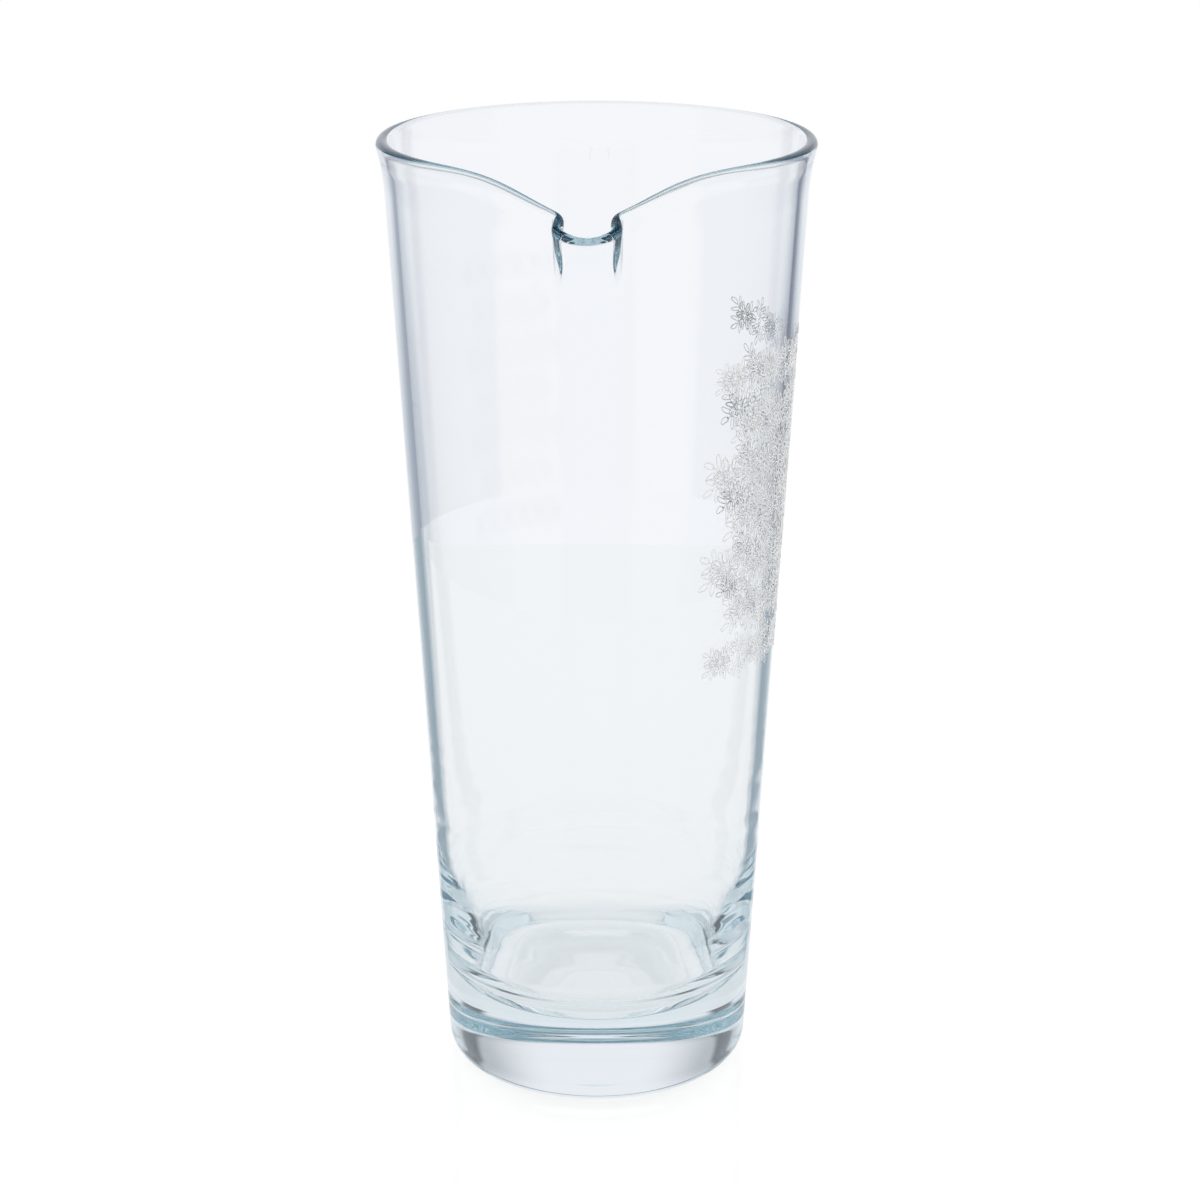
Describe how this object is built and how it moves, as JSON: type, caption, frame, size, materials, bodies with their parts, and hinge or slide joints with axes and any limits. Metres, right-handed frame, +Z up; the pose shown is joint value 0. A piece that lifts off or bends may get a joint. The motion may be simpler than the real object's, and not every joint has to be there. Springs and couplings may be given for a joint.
{
  "type": "glass cocktail pitcher",
  "caption": "Tall tapered mixing pitcher of clear glass with a thick solid base, a fire-polished rim pulled down into a small spout, and an upright panel of frosted rosettes on one side.",
  "frame": {"origin": "middle of the flat underside, on the axis of the round body", "axes": "+Z up along the body's axis, -Y the way the spout points, +X to the side with the frosted panel"},
  "size_m": [0.0884, 0.0943, 0.2],
  "materials": {
    "clear_glass": "clear polished glass with a faint blue-green tint in its depth",
    "frosting": "matt white frosting fired on to the glass"
  },
  "bodies": {
    "root": {"glass_body": "clear_glass", "frosted_print": "frosting"}
  },
  "joints": []
}
